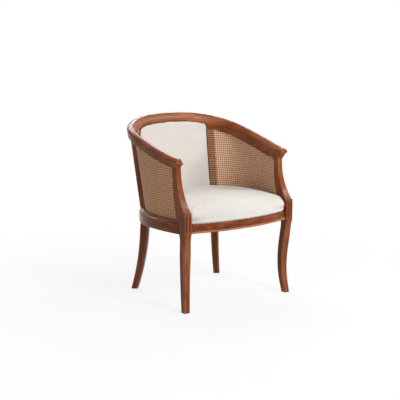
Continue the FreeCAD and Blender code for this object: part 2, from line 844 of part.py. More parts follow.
def build():
    nodes = {}
    dowels = make_dowels()
    screws = make_screws()
    holes = [solid for group in dowels.values() for solid in group]

    outer_cane = cane_panel(cane_outer_depth, cane_outer_top_depth, groove_depth - stile_width / 2)
    inner_cane = cane_panel(cane_inner_depth, cane_inner_top_depth, stile_width / 2)
    back_board = back_sheet(back_board_depth, back_board_top_depth, back_board_thickness)
    outside_back = back_sheet(outside_back_depth, outside_back_top_depth, outside_back_thickness)
    canes = [outer_cane, inner_cane]
    sheets = canes + [back_board, outside_back]
    all_sheets = sheets + [mirrored(cane) for cane in canes]

    crest = crest_rail()
    arm = arm_rail()
    side_rail = side_seat_rail()
    back_rail = back_seat_rail()
    front_rail = front_seat_rail()
    leg = front_leg().cut([side_rail, front_rail, arm]).Solids[0]
    stile = back_stile().cut([side_rail, back_rail, crest, arm]).Solids[0]

    nodes["crest_rail"] = cut_all(crest, all_sheets + holes)
    nodes["back_seat_rail"] = cut_all(back_rail, all_sheets + holes)
    nodes["front_seat_rail"] = front_rail
    right = {
        "arm_rail": cut_all(arm, canes + holes),
        "side_seat_rail": cut_all(side_rail, sheets + holes),
        "front_leg": cut_all(leg, canes + holes),
        "back_stile": cut_all(stile, sheets + holes),
        "rear_leg": cut_all(rear_leg(), holes),
        "outer_cane_panel": outer_cane,
        "inner_cane_panel": inner_cane,
        "front_corner_block": cut_all(front_corner_block([side_rail, front_rail, leg]), screws),
        "rear_corner_block": cut_all(rear_corner_block(), screws),
    }
    for name, solid in right.items():
        nodes[name + "_right"] = solid
        nodes[name + "_left"] = mirrored(solid)
    nodes["back_board"] = back_board
    nodes["outside_back_panel"] = outside_back
    for name, solids in dowels.items():
        nodes[name] = Part.makeCompound(solids)
    nodes["seat_board_screws"] = Part.makeCompound(screws)

    core = seat_pad(cover_thickness, seat_core_level_step)
    slab = Part.makeBox(
        2 * ring_radius, 4 * ring_radius, seat_board_thickness,
        Vector(-ring_radius, -2 * ring_radius, seat_ledge_z + soft_gap))
    nodes["seat_board"] = cut_all(core.common(slab), screws)
    nodes["seat_foam"] = core.cut(slab).Solids[0]
    nodes["seat_cover"] = cut_all(seat_pad(0), [core])
    # The back pad's lower end is tucked down behind the seat, and follows its edge
    back_core = cut_all(back_pad(cover_thickness), [seat_pad(-soft_gap - cover_thickness)])
    back_whole = cut_all(back_pad(0), [seat_pad(-soft_gap)])
    nodes["back_foam"] = back_core
    nodes["back_cover"] = cut_all(back_whole, [back_core])
    return nodes


if __name__ == "__main__":
    os.makedirs("parts", exist_ok=True)
    for node_name, shape in build().items():
        shape.exportStep("parts/" + node_name + ".step")
        print(node_name, len(shape.Solids), shape.isValid(), round(shape.Volume))
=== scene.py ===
# %% [markdown]
# # A caned tub armchair
# The chair is a bent wooden frame with woven cane in its sides and linen over its seat and back.
# The wood arrives as finished solids from the CAD model. This lesson gives it a stain and a polish,
# weaves the cane strand by strand, and blows up the two pads with a cloth simulation.
# All lengths are in metres.

# %% Load the frame
import bpy
import json
import math
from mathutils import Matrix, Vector

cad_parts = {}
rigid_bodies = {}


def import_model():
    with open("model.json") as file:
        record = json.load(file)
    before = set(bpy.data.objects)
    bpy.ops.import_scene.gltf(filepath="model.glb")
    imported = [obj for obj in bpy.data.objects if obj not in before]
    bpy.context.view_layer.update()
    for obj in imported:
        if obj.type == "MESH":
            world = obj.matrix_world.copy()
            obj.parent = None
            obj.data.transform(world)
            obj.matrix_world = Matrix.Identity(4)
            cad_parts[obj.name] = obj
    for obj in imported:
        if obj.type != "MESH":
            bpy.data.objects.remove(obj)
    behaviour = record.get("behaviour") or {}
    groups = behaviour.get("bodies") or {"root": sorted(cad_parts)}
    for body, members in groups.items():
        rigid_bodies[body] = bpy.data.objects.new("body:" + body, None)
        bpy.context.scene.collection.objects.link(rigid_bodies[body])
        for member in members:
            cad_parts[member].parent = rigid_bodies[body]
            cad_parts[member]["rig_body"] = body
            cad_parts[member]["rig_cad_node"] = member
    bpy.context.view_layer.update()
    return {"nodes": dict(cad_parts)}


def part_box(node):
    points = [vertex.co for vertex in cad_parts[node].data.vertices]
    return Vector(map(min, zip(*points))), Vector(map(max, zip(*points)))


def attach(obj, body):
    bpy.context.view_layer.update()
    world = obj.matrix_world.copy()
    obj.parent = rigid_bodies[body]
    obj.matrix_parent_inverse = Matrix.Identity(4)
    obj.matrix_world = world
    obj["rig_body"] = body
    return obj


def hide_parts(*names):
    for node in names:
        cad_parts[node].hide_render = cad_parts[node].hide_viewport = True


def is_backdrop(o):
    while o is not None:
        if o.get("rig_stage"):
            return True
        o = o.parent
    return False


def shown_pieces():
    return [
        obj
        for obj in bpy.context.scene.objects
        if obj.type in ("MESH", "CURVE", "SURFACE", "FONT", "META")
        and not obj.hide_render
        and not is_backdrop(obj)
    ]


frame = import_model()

# %% [markdown]
# ## Camera
# The photograph was taken with a long lens from the chair's front left, looking slightly down.
# A camera is a point, a direction and a lens.
# All three were found by laying the CAD model over the photograph.

# %% Place the camera
azimuth = -0.639
elevation = 0.18
camera_place = (-2.5592, -3.4183, 1.1876)
film_width_mm = 36
focal_length_mm = 87.93
towards_camera = Vector((
    math.sin(azimuth) * math.cos(elevation),
    -math.cos(azimuth) * math.cos(elevation),
    math.sin(elevation)))
bpy.ops.object.select_all(action="DESELECT")
bpy.ops.object.camera_add(location=camera_place)
camera = bpy.context.active_object
camera.rotation_mode = "QUATERNION"
camera.rotation_quaternion = (-towards_camera).to_track_quat("-Z", "Y")
camera.data.sensor_width = film_width_mm
camera.data.lens = focal_length_mm
bpy.context.scene.camera = camera
bpy.context.scene.view_settings.view_transform = "Standard"
print("camera", [round(value, 3) for value in camera.location])

# %% [markdown]
# ## Small helpers for shaders
# A finish is a graph of nodes. Each function here adds a node or two, feeds its inputs
# and gives back the socket to go on from.

# %% Helpers for shader nodes
relief = 0.0004


def link(tree, value, socket):
    """Feed a socket from another socket, or set it to a plain value."""
    if isinstance(value, (int, float, tuple)):
        socket.default_value = value
    else:
        tree.links.new(value, socket)


def new_material(name):
    """A material, its node tree and its shader."""
    material = bpy.data.materials.new(name)
    material.use_nodes = True
    return material, material.node_tree, material.node_tree.nodes["Principled BSDF"]


def object_place(tree):
    """The place of a point in the object's own coordinates."""
    return tree.nodes.new("ShaderNodeTexCoord").outputs["Object"]


def attribute(tree, name, output):
    """An attribute of the mesh, read as a Fac or a Vector."""
    node = tree.nodes.new("ShaderNodeAttribute")
    node.attribute_name = name
    return node.outputs[output]


def stretched_noise(tree, vector, stretch, detail):
    """Noise on a vector that is multiplied by a stretch."""
    scale = tree.nodes.new("ShaderNodeVectorMath")
    scale.operation = "MULTIPLY"
    scale.inputs[1].default_value = stretch
    noise = tree.nodes.new("ShaderNodeTexNoise")
    noise.inputs["Scale"].default_value = 1.0
    noise.inputs["Detail"].default_value = detail
    link(tree, vector, scale.inputs[0])
    link(tree, scale.outputs[0], noise.inputs["Vector"])
    return noise.outputs["Fac"]


def ramp(tree, value, stops):
    """A colour ramp with (position, colour) stops."""
    node = tree.nodes.new("ShaderNodeValToRGB")
    while len(node.color_ramp.elements) < len(stops):
        node.color_ramp.elements.new(0.5)
    for element, (position, colour) in zip(node.color_ramp.elements, stops):
        element.position = position
        element.color = (*colour, 1)
    link(tree, value, node.inputs["Fac"])
    return node.outputs["Color"]


def mapped(tree, value, low, high, new_low, new_high):
    """A value carried over from one range to another."""
    node = tree.nodes.new("ShaderNodeMapRange")
    limits = {"From Min": low, "From Max": high, "To Min": new_low, "To Max": new_high}
    for label, limit in limits.items():
        node.inputs[label].default_value = limit
    link(tree, value, node.inputs["Value"])
    return node.outputs["Result"]


def combined(tree, first, second, operation):
    """Two values put together by an operation such as ADD."""
    node = tree.nodes.new("ShaderNodeMath")
    node.operation = operation
    link(tree, first, node.inputs[0])
    link(tree, second, node.inputs[1])
    return node.outputs[0]


def mixed_colour(tree, share, first, second):
    """Two colours mixed by a share; a Mix node keeps its colours in inputs 6 and 7 and in output 2."""
    node = tree.nodes.new("ShaderNodeMix")
    node.data_type = "RGBA"
    for value, socket in ((share, 0), (first, 6), (second, 7)):
        link(tree, value, node.inputs[socket])
    return node.outputs[2]


def mixed_shader(tree, share, first, second):
    """Two shaders mixed by a share."""
    node = tree.nodes.new("ShaderNodeMixShader")
    for value, socket in zip((share, first, second), node.inputs):
        link(tree, value, socket)
    return node.outputs[0]


def bumped(tree, height, strength, shader):
    """Give a shader fine relief from a height."""
    bump = tree.nodes.new("ShaderNodeBump")
    bump.inputs["Strength"].default_value = strength
    bump.inputs["Distance"].default_value = relief
    link(tree, height, bump.inputs["Height"])
    link(tree, bump.outputs["Normal"], shader.inputs["Normal"])


def new_group(name, vector_name, value_names):
    """A node group that turns one vector into values, with its input and output nodes."""
    group = bpy.data.node_groups.new(name, "ShaderNodeTree")
    group.interface.new_socket(name=vector_name, in_out="INPUT", socket_type="NodeSocketVector")
    for label in value_names:
        group.interface.new_socket(name=label, in_out="OUTPUT", socket_type="NodeSocketFloat")
    return group, group.nodes.new("NodeGroupInput"), group.nodes.new("NodeGroupOutput")


print("relief of grain and threads", relief)

# %% [markdown]
# ## Studio
# A product picture on white needs a pale floor, a white room and large soft lamps.
# The room and the floor look white to the camera and in the polish, while they light the chair less
# than that, so the wood keeps its depth. Light Path tells the shader which kind of ray is asking.
# Near the chair a share of the floor is ordinary white paint, which keeps the chair's shadow.

# %% Build the room and the floor
room_strength = 0.1
floor_size = 80
shadow_reach = 0.5
shadow_end = 1.6
glow_in_shadow = 0.84


def seen_directly(tree):
    """A value that is 1 for camera rays, reflections and rays through glass."""
    path = tree.nodes.new("ShaderNodeLightPath")
    seen = path.outputs["Is Camera Ray"]
    for kind in ("Is Glossy Ray", "Is Transmission Ray"):
        seen = combined(tree, seen, path.outputs[kind], "MAXIMUM")
    return seen


def background(tree, colour, strength):
    node = tree.nodes.new("ShaderNodeBackground")
    node.inputs["Color"].default_value = colour
    node.inputs["Strength"].default_value = strength
    return node.outputs[0]


world = bpy.data.worlds.new("white room")
bpy.context.scene.world = world
world.use_nodes = True
room = world.node_tree
room.nodes.clear()
room_out = room.nodes.new("ShaderNodeOutputWorld")
room_light = background(room, (1, 0.99, 0.98, 1), room_strength)
room_shown = background(room, (1, 1, 1, 1), 1.0)
room_mix = mixed_shader(room, seen_directly(room), room_light, room_shown)
link(room, room_mix, room_out.inputs["Surface"])

bpy.ops.mesh.primitive_plane_add(size=floor_size, location=(0, 0, 0))
floor = bpy.context.active_object
floor.name = "floor"
floor_paint, floor_tree, floor_shader = new_material("pale floor")
floor_shader.inputs["Base Color"].default_value = (0.45, 0.44, 0.43, 1)
floor_shader.inputs["Roughness"].default_value = 0.8
floor_glow = floor_tree.nodes.new("ShaderNodeEmission")
floor_glow.inputs["Strength"].default_value = 1.0
floor_white = floor_tree.nodes.new("ShaderNodeBsdfDiffuse")
floor_white.inputs["Color"].default_value = (0.92, 0.92, 0.92, 1)
from_middle = floor_tree.nodes.new("ShaderNodeVectorMath")
from_middle.operation = "LENGTH"
link(floor_tree, object_place(floor_tree), from_middle.inputs[0])
glow_share = mapped(
    floor_tree, from_middle.outputs["Value"], shadow_reach, shadow_end, glow_in_shadow, 1.0)
floor_shown = mixed_shader(floor_tree, glow_share, floor_white.outputs[0], floor_glow.outputs[0])
floor_mix = mixed_shader(floor_tree, seen_directly(floor_tree), floor_shader.outputs[0], floor_shown)
link(floor_tree, floor_mix, floor_tree.nodes["Material Output"].inputs["Surface"])
floor.data.materials.append(floor_paint)
floor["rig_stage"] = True
print("room and floor", world.name, floor_paint.name)

# %% [markdown]
# The key lamp hangs in front of the chair. Weaker lamps on the right, above, behind and on the left
# open the shadows.

# %% Hang the lamps
chair_middle = Vector((0, 0, 0.45))


def soft_lamp(name, place, size, power):
    """A square lamp that faces the middle of the chair."""
    bpy.ops.object.light_add(type="AREA", location=place)
    lamp = bpy.context.active_object
    lamp.name = name
    lamp.data.size = size
    lamp.data.energy = power
    lamp.rotation_mode = "QUATERNION"
    lamp.rotation_quaternion = (chair_middle - Vector(place)).to_track_quat("-Z", "Y")


soft_lamp("key lamp", (0.4, -3.1, 2.5), 1.0, 88)
soft_lamp("right lamp", (2.2, -2.0, 2.6), 0.8, 42)
soft_lamp("top lamp", (1.45, 1.75, 2.5), 0.7, 26)
soft_lamp("rear lamp", (0.45, 2.5, 2.5), 1.2, 30)
soft_lamp("left lamp", (-3.0, -0.6, 1.3), 1.2, 12.5)

# %% [markdown]
# ## Working copies of the CAD pieces
# A CAD node comes as loose triangles. Its corners are merged in a copy, so that the faces can be shaded
# smoothly across the curves and stay crisp at the mouldings. The copy then stands for the node.

# %% Copy and merge a node
merge_reach = 0.00002


def only(piece):
    """Select one object and make it active."""
    bpy.ops.object.select_all(action="DESELECT")
    piece.select_set(True)
    bpy.context.view_layer.objects.active = piece


def edit_all(operator, **settings):
    """Run an edit operator on the whole active mesh."""
    bpy.ops.object.mode_set(mode="EDIT")
    bpy.ops.mesh.select_all(action="SELECT")
    operator(**settings)
    bpy.ops.object.mode_set(mode="OBJECT")


def apply_all(piece):
    """Apply the modifiers of a piece, first to last."""
    only(piece)
    for modifier in list(piece.modifiers):
        bpy.ops.object.modifier_apply(modifier=modifier.name)


def joined(*parts):
    """Join parts into the first of them."""
    bpy.ops.object.select_all(action="DESELECT")
    for part in parts:
        part.select_set(True)
    bpy.context.view_layer.objects.active = parts[0]
    bpy.ops.object.join()
    return parts[0]


def copy_of(node, name):
    """A merged copy of a CAD node, free of its parent."""
    only(frame["nodes"][node])
    bpy.ops.object.duplicate()
    piece = bpy.context.active_object
    piece.name = name
    piece.parent = None
    del piece["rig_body"]
    del piece["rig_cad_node"]
    only(piece)
    bpy.ops.mesh.customdata_custom_splitnormals_clear()
    edit_all(bpy.ops.mesh.remove_doubles, threshold=merge_reach)
    piece.data.materials.clear()
    return piece


def settle(piece, slot, *nodes):
    """Ride on the frame and stand for nodes, which are hidden. The slot is not used."""
    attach(piece, "root")
    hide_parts(*nodes)
    return piece


print("CAD nodes", len(frame["nodes"]))

# %% [markdown]
# ## Stained wood
# The frame is a pale hardwood with a reddish brown stain and a satin polish. Grain runs along each stick,
# also round the bends, so every vertex gets a grain attribute: its length along the stick, then its place
# across. One node group turns that into streaks, fine pores and a slightly uneven polish.

# %% Wood finishes
# A paler tone for thinned stain on the rail's inner shoulder, which also serves as a painted highlight
# there.
thin_stain_highlight_tone = (0.75, 0.44, 0.27, 1)
pore_depth = 0.12

grain_group, grain_in, grain_out = new_group("wood grain", "Grain", ("Streak", "Pores", "Polish"))
along_grain = grain_in.outputs["Grain"]
broad = stretched_noise(grain_group, along_grain, (5, 26, 26), 2)
fine = stretched_noise(grain_group, along_grain, (9, 150, 150), 4)
pores = stretched_noise(grain_group, along_grain, (55, 1100, 1100), 2)
uneven = stretched_noise(grain_group, along_grain, (14, 30, 30), 3)
broad_part = combined(grain_group, broad, 0.55, "MULTIPLY")
fine_part = combined(grain_group, fine, 0.45, "MULTIPLY")
streak = combined(grain_group, broad_part, fine_part, "ADD")
link(grain_group, streak, grain_out.inputs["Streak"])
link(grain_group, mapped(grain_group, pores, 0.3, 0.45, 0, 1), grain_out.inputs["Pores"])
link(grain_group, mapped(grain_group, uneven, 0.3, 0.7, 0, 1), grain_out.inputs["Polish"])


def darker(colour, share):
    return tuple(share * part for part in colour)


def wood_finish(name, dark, middle, light, gloss, shine):
    """A wood material; gloss is its lowest and highest roughness.
    One attribute darkens the stain in hollows, as pooled stain and painted shade, and another lightens it,
    as thinned stain and a painted highlight."""
    wood, tree, shader = new_material(name)
    grain = tree.nodes.new("ShaderNodeGroup")
    grain.node_tree = grain_group
    link(tree, attribute(tree, "grain", "Vector"), grain.inputs["Grain"])
    streaked = ramp(tree, grain.outputs["Streak"], [(0.3, dark), (0.5, middle), (0.7, light)])
    in_pores = mapped(tree, grain.outputs["Pores"], 0, 1, 0.35, 0)
    porous = mixed_colour(tree, in_pores, streaked, (*dark, 1))
    flute_shade_and_stain = mapped(tree, attribute(tree, "flute_shade_and_stain", "Fac"), 0, 1, 0, 0.5)
    # darker in the hollows: pooled stain and painted shade
    with_flute_shade = mixed_colour(tree, flute_shade_and_stain, porous, (*darker(dark, 0.3), 1))
    # paler where worn: thinned stain and a painted highlight
    with_shoulder_highlight = mixed_colour(tree, attribute(tree, "thin_stain_highlight", "Fac"), with_flute_shade, thin_stain_highlight_tone)
    link(tree, with_shoulder_highlight, shader.inputs["Base Color"])
    link(tree, mapped(tree, grain.outputs["Polish"], 0, 1, *gloss), shader.inputs["Roughness"])
    shader.inputs["Specular IOR Level"].default_value = shine
    bumped(tree, grain.outputs["Pores"], pore_depth, shader)
    return wood


stained = wood_finish(
    "stained wood", (0.1, 0.021, 0.006), (0.265, 0.071, 0.022), (0.45, 0.148, 0.052), (0.14, 0.24), 0.13)
# The rubbed finish is paler stain: wear on the edges, and a painted highlight where the polish catches the
# light.
pale_edge_highlight = wood_finish(
    "edges with painted highlight", (0.3, 0.1, 0.04), (0.46, 0.18, 0.08), (0.56, 0.24, 0.11), (0.4, 0.5), 0.16)
bare = wood_finish(
    "bare wood", (0.42, 0.27, 0.14), (0.55, 0.38, 0.22), (0.63, 0.46, 0.29), (0.55, 0.7), 0.5)
print("wood finishes", stained.name, pale_edge_highlight.name, bare.name)

# %% [markdown]
# ## The wooden frame
# Real sticks have no knife-sharp corners: sandpaper takes them off. A small bevel on every edge catches
# the light there, and weighted normals let the large faces decide the shading, so the narrow ones don't
# glitter. Rails get their grain from the angle round the middle of the seat ring, and upright sticks from
# their height.

# %% Dress the sticks
sides = ("right", "left")
ring_middle = Vector((0, -0.05, 0))
ring_radius = 0.31
corner_bevel = 0.0009
flat_angle = math.radians(0.6)
corner_angle = math.radians(28)
crisp_angle = math.radians(38)


def bent_grain(point, shift):
    around = point - ring_middle
    angle = math.atan2(around.y, around.x)
    return (ring_radius * angle + shift, math.hypot(around.x, around.y), point.z + shift)


def upright_grain(point, shift):
    return (point.z + shift, point.x + shift, point.y)


def level_grain(point, shift):
    return (point.x + shift, point.y, point.z + shift)


def give_grain(piece, rule, shift):
    """Store the grain at each vertex; the shift keeps two sticks from looking the same."""
    values = piece.data.attributes.new("grain", "FLOAT_VECTOR", "POINT")
    for vertex, value in zip(piece.data.vertices, values.data):
        value.vector = rule(vertex.co, shift)


def dress_stick(node, rule, shift):
    """Bevel and stain a stick; its bevels get a paler finish, for worn edges and as a painted highlight."""
    piece = copy_of(node, node + "_wood")
    edit_all(bpy.ops.mesh.dissolve_limited, angle_limit=flat_angle)
    piece.data.materials.append(stained)
    piece.data.materials.append(pale_edge_highlight)
    bpy.ops.object.modifier_add(type="BEVEL")
    soften = piece.modifiers[-1]
    soften.width = corner_bevel
    soften.segments = 2
    soften.limit_method = "ANGLE"
    soften.angle_limit = corner_angle
    # The bevel faces take the paler finish, a painted highlight along every edge.
    soften.material = 1
    apply_all(piece)
    bpy.ops.object.shade_smooth_by_angle(angle=crisp_angle)
    bpy.ops.object.modifier_add(type="WEIGHTED_NORMAL")
    piece.modifiers[-1].keep_sharp = True
    apply_all(piece)
    give_grain(piece, rule, shift)
    settle(piece, "stained_beech", node)


dress_stick("crest_rail", bent_grain, 0.0)
dress_stick("back_seat_rail", bent_grain, 3.1)
dress_stick("front_seat_rail", level_grain, 1.7)
for number, side in enumerate(sides):
    dress_stick("arm_rail_" + side, bent_grain, 0.0)
    dress_stick("side_seat_rail_" + side, bent_grain, 7.9 + number)
    dress_stick("front_leg_" + side, upright_grain, 2.3 + number)
    dress_stick("rear_leg_" + side, upright_grain, 9.1 + number)
    dress_stick("back_stile_" + side, upright_grain, 4.7 + number)
wooden = [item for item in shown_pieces() if item.name.endswith("_wood")]
print("sticks", len(wooden), "faces", sum(len(item.data.polygons) for item in wooden))

# %% [markdown]
# ## Fuller legs
# Below the seat ring the legs of the real chair are stout and rounded. Each point there is pushed out
# level, along its normal, so the foot keeps its height. The push fades out just under the ring, where the
# leg meets its block.

# %% Fill out the legs
leg_top = 0.329
least_level = 0.01


def wood_of(node):
    return bpy.data.objects[node + "_wood"]


def fill_out(piece, fade, at_foot, at_top):
    """Push the points of a leg outwards, by at_foot on the floor and at_top just under the fade."""
    pushed = []
    for vertex in piece.data.vertices:
        way = Vector((vertex.normal.x, vertex.normal.y, 0))
        if vertex.co.z < leg_top and way.length > least_level:
            reach = at_foot + (at_top - at_foot) * vertex.co.z / leg_top
            pushed.append((vertex, way.normalized() * reach * min((leg_top - vertex.co.z) / fade, 1)))
    for vertex, push in pushed:
        vertex.co += push
    print(piece.name, "points pushed", len(pushed))


for side in sides:
    fill_out(wood_of("front_leg_" + side), 0.08, 0.003, 0.0046)
    fill_out(wood_of("rear_leg_" + side), 0.05, 0.0034, 0.004)

# %% [markdown]
# The bead along the front rail's lower edge is painted pale, as wear and a painted highlight, and the
# flutes of the blocks are darkened, as pooled stain and painted shade.
# A block has two flutes in its front, one on each side of its middle.

# %% Paint the bead's highlight and the flutes' shade
bead_top = 0.3425
faces_front = -0.25
block_low = 0.335
block_high = 0.42
block_middle = 0.2755
flute_mouth = -0.2638
flute_floor = -0.261
flute_offset = 0.0085
flute_half_width = 0.0034

# The bead's front faces take the paler finish, a painted highlight along the bead.
bead_highlight_faces = 0
for face in wood_of("front_seat_rail").data.polygons:
    if face.center.z < bead_top and face.normal.y < faces_front:
        face.material_index = 1
        bead_highlight_faces += 1


def in_flute(co):
    from_flute = abs(abs(abs(co.x) - block_middle) - flute_offset)
    in_block = block_low < co.z < block_high
    return in_block and flute_mouth < co.y < flute_floor and from_flute < flute_half_width


# The flutes are darkened, as pooled stain and painted shade.
for side in sides:
    leg = wood_of("front_leg_" + side).data
    flute_shade_values = leg.attributes.new("flute_shade_and_stain", "FLOAT", "POINT")
    for vertex, flute_shade_and_stain in zip(leg.vertices, flute_shade_values.data):
        flute_shade_and_stain.value = 1.0 if in_flute(vertex.co) else 0.0
print("rubbed faces of the bead", bead_highlight_faces)

# %% [markdown]
# ## Hidden joinery
# Dowels and glue blocks are bare wood, and the screws are steel. Nobody sees them, but the chair comes
# apart with them in place, so they keep their CAD shapes and get plain finishes. The back board's edge
# shows beside the pad, so it is stained. The seat board shows between the tacks of the linen; it is stained
# dark there as painted shade, so that the pockets look shaded.

# %% Finish the hidden pieces
def object_grain(material, name):
    """A copy that takes its grain from Object coordinates, for pieces that keep their CAD mesh."""
    copy = material.copy()
    copy.name = name
    tree = copy.node_tree
    group_node = [node for node in tree.nodes if node.type == "GROUP"][0]
    link(tree, object_place(tree), group_node.inputs["Grain"])
    return copy


def repaint(node, material):
    shown = frame["nodes"][node]
    shown.data.materials.clear()
    shown.data.materials.append(material)


bare_solid = object_grain(bare, "bare wood in the solid")
stained_solid = object_grain(stained, "stained wood in the solid")
steel, steel_tree, steel_shader = new_material("bright steel")
steel_shader.inputs["Metallic"].default_value = 1.0
scratches = stretched_noise(steel_tree, object_place(steel_tree), (900, 900, 60), 3)
steel_tone = ramp(steel_tree, scratches, [(0.3, (0.42, 0.42, 0.43)), (0.7, (0.6, 0.6, 0.61))])
link(steel_tree, steel_tone, steel_shader.inputs["Base Color"])
link(steel_tree, mapped(steel_tree, scratches, 0.3, 0.7, 0.25, 0.4), steel_shader.inputs["Roughness"])

hidden_wood = [joint + "_dowels" for joint in ("crest_arm", "arm_stump", "stile", "rear_leg", "seat_rail")]
hidden_wood += [place + "_corner_block_" + side for place in ("front", "rear") for side in sides]
for node in hidden_wood:
    repaint(node, bare_solid)
repaint("back_board", stained_solid)
# The seat board's dark stain is painted shade in the pockets between the tacks.
repaint("seat_board", stained_solid)
repaint("seat_board_screws", steel)
print("hidden pieces of bare wood", len(hidden_wood))

# %% [markdown]
# ## Cane
# Caning is a sheet of split rattan skin: pairs of upright strands, pairs of level strands, and two slanting
# ones that leave eight-sided holes. A painted pattern would look flat where the sheet is seen edge-on, so
# one repeat is modelled from thin ribbons, arrayed into a sheet, wrapped on the wall of its CAD panel and
# given a thickness. The upright strands bend over and under the level ones, and the slanting ones run
# behind both.

# %% One repeat of the weave
pitch = 0.010
lift = 0.0009
# Level strands are painted lighter as a highlight, and slanting strands darker as painted shade, since they
# lie behind.
level_highlight_tone = 1.0
upright_tone = 0.6
slant_shade_tone = -0.3


def ribbon(corners, tone):
    """A plane whose four corners are moved to their places; tone is the painted light and shade of its
    strand.
    """
    bpy.ops.mesh.primitive_plane_add(size=1)
    strip = bpy.context.active_object
    for vertex, corner in zip(strip.data.vertices, corners):
        vertex.co = corner
    shades = strip.data.attributes.new("strand", "FLOAT", "POINT")
    for shade in shades.data:
        shade.value = tone
    return strip


def weave_repeat(strand_width, pair_gap, slant_width, shown_way):
    """One repeat; a pair of strands straddles each of its edges, pair_gap to either side."""
    half = strand_width / 2
    slant = slant_width / math.sqrt(2)
    middle = pitch / 2
    strips = []
    for place, sign in ((pitch - pair_gap, -1), (pair_gap, 1)):
        low, high = place - half, place + half
        strips.append(ribbon([(0, low, 0), (pitch, low, 0), (0, high, 0), (pitch, high, 0)], level_highlight_tone))
        bends = ((0, sign), (0.3 * pitch, 0), (0.7 * pitch, 0), (pitch, sign))
        for (start, start_lift), (end, end_lift) in zip(bends, bends[1:]):
            strips.append(ribbon([
                (low, start, lift * start_lift), (high, start, lift * start_lift),
                (low, end, lift * end_lift), (high, end, lift * end_lift)], upright_tone))
    upper = ((0, middle - slant), (middle + slant, pitch), (0, middle + slant), (middle - slant, pitch))
    lower = ((middle - slant, 0), (pitch, middle + slant), (middle + slant, 0), (pitch, middle - slant))
    for turned, under in ((False, 0.5), (True, 1)):
        behind = -shown_way * lift * under
        for corners in (upper, lower):
            strips.append(ribbon([(pitch - x if turned else x, y, behind) for x, y in corners], slant_shade_tone))
    return joined(*strips)


print("pitch of the weave", pitch)

# %% [markdown]
# The wall of a panel is a set of straight lines between the groove in the sill and the groove in the top
# rail. In plan the seat ring and the top rail are chains of arcs, given here by centre, radius, first and
# last angle. A line of the wall joins two points that have gone equally far along the two chains.

# %% Lines of a wall
top_arcs = (
    (-0.814, -0.036, 1.13, -0.157733, 0.12318),
    (0.088112, 0.075687, 0.221, 0.12318, 1.461665),
    (0, -0.7285, 1.03, 1.461665, 1.570796))
ring_arcs = (
    (-0.51923, -0.05, 0.83223, -0.211245, 0),
    (0, -0.05, 0.313, 0, 1.570796))
top_length = sum(radius * (last - first) for _, _, radius, first, last in top_arcs)
arm_height = 0.637
crest_height = 0.776
rise_power = 2.3
rise_swell = 1.42
sill_groove_height = 0.379
rail_groove_below = 0.036
sill_front = 0.005621
top_front = 0.033846
line_count = 60


def inset(arcs, along, depth, z):
    """The point at a length along the arcs, a depth inside them, and its outward angle."""
    for x, y, radius, first, last in arcs:
        if along <= radius * (last - first) or last == arcs[-1][-1]:
            angle = first + along / radius
            reach = radius - depth
            return Vector((x + reach * math.cos(angle), y + reach * math.sin(angle), z)), angle
        along -= radius * (last - first)


def top_height(along):
    """Height of the top rail's upper edge, at a length along it."""
    share = max(along / top_length, 0)
    fall = (1 - share) ** rise_power * (1 + rise_swell * share)
    return arm_height + (crest_height - arm_height) * (1 - fall)


def wall_lines(ends, depths, side):
    """Low end, high end and outward way of each line, from the front of the chair to the back.
    The ends and depths are those along the sill, then those along the top rail."""
    lines = []
    for number in range(line_count + 1):
        share = number / line_count
        ring_along = sill_front + (ends[0] - sill_front) * share
        top_along = top_front + (ends[1] - top_front) * share
        low, low_angle = inset(ring_arcs, ring_along, depths[0], sill_groove_height)
        high, high_angle = inset(top_arcs, top_along, depths[1], top_height(top_along) - rail_groove_below)
        angle = (low_angle + high_angle) / 2
        way = Vector((math.cos(angle), math.sin(angle), 0))
        lines.append([Vector((side * spot.x, spot.y, spot.z)) for spot in (low, high, way)])
    return lines


print("length of the top rail on one side", round(top_length, 4))

# %% [markdown]
# A flat sheet is arrayed a little too large, then each of its points is carried to its place on the wall:
# its x runs along the sill, its y up the line, and its z outwards. What hangs over the edges is cut off.

# %% Wrap the weave on a wall
strand_thickness = 0.0005
weave_merge = 0.00005
ribbon_angle = math.radians(50)


def array_sheet(sheet, columns, rows):
    """Repeat a sheet along x and y, and merge the strands where they meet."""
    only(sheet)
    for count, offset in ((columns, (pitch, 0, 0)), (rows, (0, pitch, 0))):
        bpy.ops.object.modifier_add(type="ARRAY")
        repeat = sheet.modifiers[-1]
        repeat.count = count
        repeat.use_relative_offset = False
        repeat.use_constant_offset = True
        repeat.constant_offset_displace = offset
        repeat.use_merge_vertices = True
        repeat.merge_threshold = weave_merge
    apply_all(sheet)


def wrap_sheet(sheet, lines, length, shift, unshaded_share):
    """Carry a flat sheet to the wall, and give back the points that hang over its edges.
    Past a share of its length a stile lies behind the cane, and the strands there are painted darker as
    shade."""
    overhang = set()
    shades = sheet.data.attributes["strand"].data
    last = len(lines) - 1
    for vertex in sheet.data.vertices:
        along = vertex.co.x - shift[0]
        height = vertex.co.y - shift[1]
        # painted shade on the strands over the stile, beside the pad
        if along > unshaded_share * length:
            shades[vertex.index].value -= 1
        share = min(max(along / length, 0), 1) * last
        index = min(int(share), last - 1)
        near_lines = zip(lines[index], lines[index + 1])
        low, high, way = [before.lerp(after, share - index) for before, after in near_lines]
        tall = (high - low).length
        if not 0 <= height <= tall or not 0 <= along <= length:
            overhang.add(vertex.index)
        vertex.co = low + (high - low) * (min(max(height, 0), tall) / tall) + way * vertex.co.z
    return overhang


def cut_off(sheet, overhang):
    """Delete the faces that hang over the edges with all their corners."""
    bpy.ops.object.mode_set(mode="EDIT")
    bpy.ops.mesh.select_mode(type="FACE")
    bpy.ops.mesh.select_all(action="DESELECT")
    bpy.ops.object.mode_set(mode="OBJECT")
    for face in sheet.data.polygons:
        face.select = all(corner in overhang for corner in face.vertices)
    bpy.ops.object.mode_set(mode="EDIT")
    bpy.ops.mesh.delete(type="FACE")
    bpy.ops.object.mode_set(mode="OBJECT")


